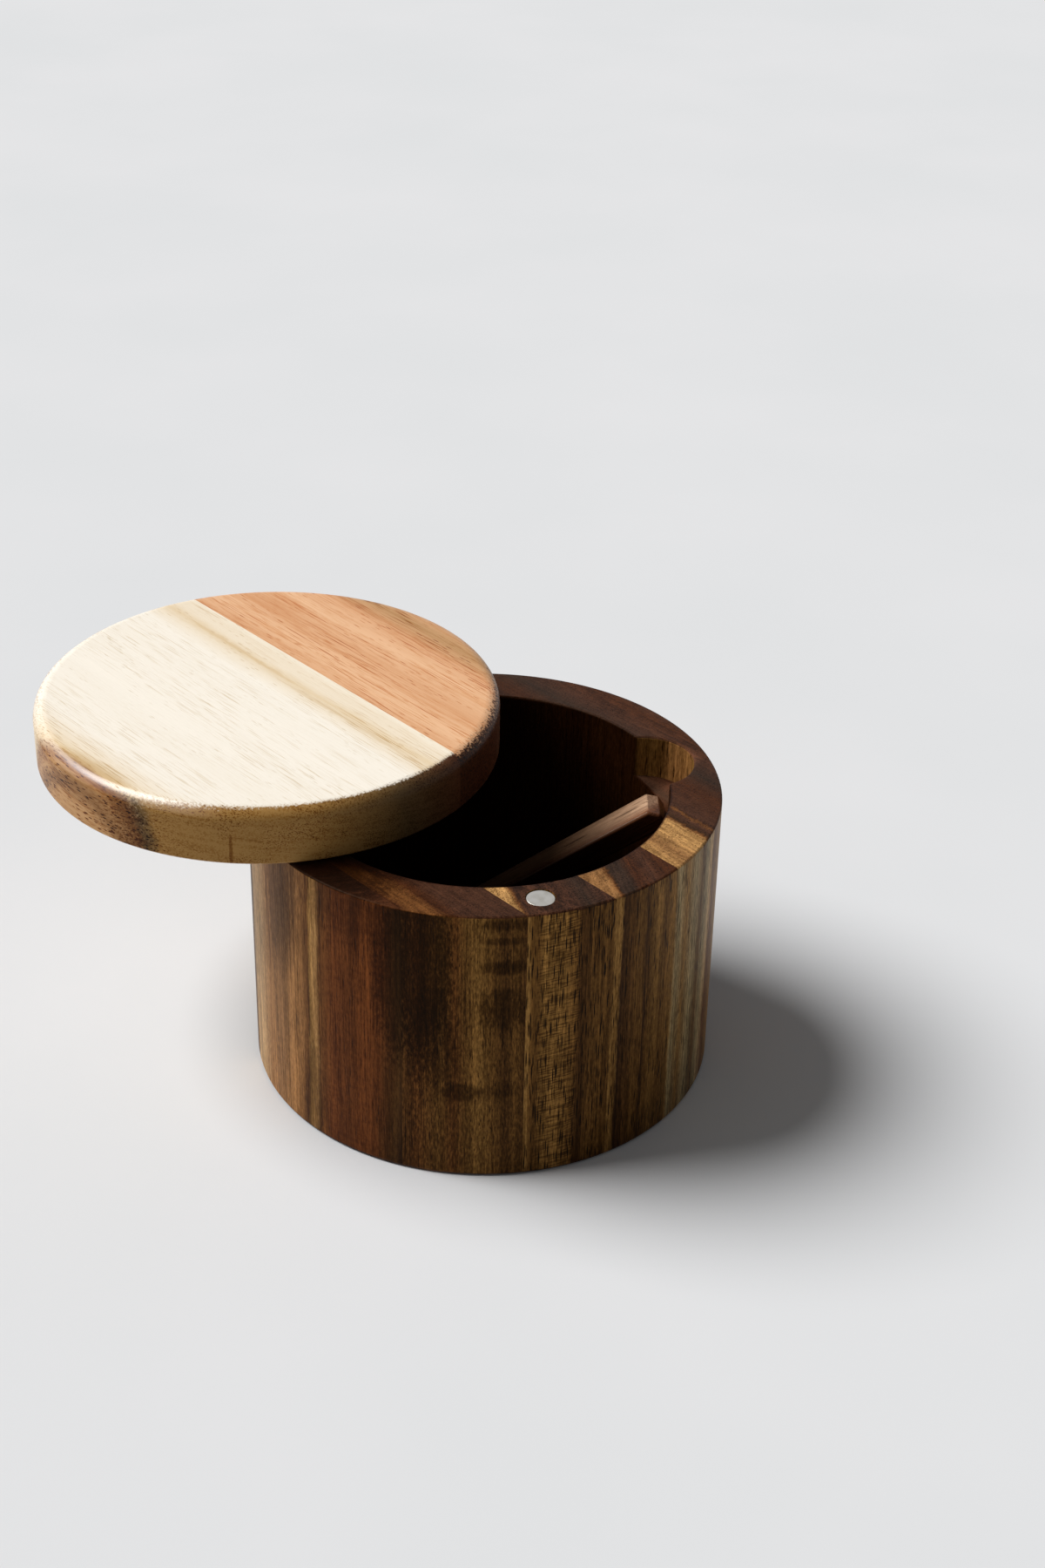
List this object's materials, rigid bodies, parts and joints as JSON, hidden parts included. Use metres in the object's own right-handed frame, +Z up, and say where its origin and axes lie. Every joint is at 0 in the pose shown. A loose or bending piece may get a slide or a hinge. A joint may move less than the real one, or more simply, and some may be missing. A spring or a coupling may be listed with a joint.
{
  "type": "salt box",
  "caption": "Round turned wooden salt box with a swivelling wooden lid, a thumb notch in the rim, a magnet catch and a small wooden spoon.",
  "frame": {"origin": "centre of the body's flat underside", "axes": "+Z up; the lid's pivot pin is on +Y and the rim's magnet is on -Y"},
  "size_m": [0.1435, 0.1301, 0.0789],
  "materials": {
    "stave_amber": "acacia heartwood, amber brown, oiled satin",
    "stave_russet": "acacia heartwood, russet brown, oiled satin",
    "stave_figured": "acacia with curly figure and dark streaks, oiled satin",
    "stave_streaked": "dark streaked acacia heartwood, oiled satin",
    "stave_olive": "acacia at the sapwood edge, olive tan, oiled satin",
    "stave_umber": "dark acacia heartwood, oiled satin",
    "stave_dusky": "dark acacia heartwood, oiled satin",
    "lid_sapwood": "pale acacia sapwood, oiled satin",
    "lid_heartwood": "orange acacia heartwood, oiled satin",
    "spoon_wood": "acacia, sanded and oiled",
    "magnet_plating": "dull nickel plating",
    "pin_steel": "bright drawn steel",
    "washer_steel": "satin steel"
  },
  "bodies": {
    "container": {"body_stave_1": "stave_amber", "body_stave_2": "stave_russet", "body_stave_3": "stave_figured", "body_stave_4": "stave_streaked", "body_stave_5": "stave_olive", "body_stave_6": "stave_umber", "body_stave_7": "stave_dusky", "body_magnet": "magnet_plating", "pivot_pin": "pin_steel", "pivot_washer": "washer_steel"},
    "lid": {"lid_board_front": "lid_sapwood", "lid_board_back": "lid_heartwood", "lid_magnet": "magnet_plating"},
    "spoon": {"spoon": "spoon_wood"}
  },
  "joints": [
    {"name": "lid_swivel", "type": "hinge", "parent": "container", "child": "lid", "pos_m": [0, 0.045, 0.0663], "axis": [0, 0, 1], "range_deg": [-111.6, 248.4]},
    {"name": "spoon_tip", "type": "hinge", "parent": "container", "child": "spoon", "pos_m": [-0.02806, 0.01011, 0.0113], "axis": [-0.2588, -0.9659, 0], "range_deg": [0, 20]}
  ]
}
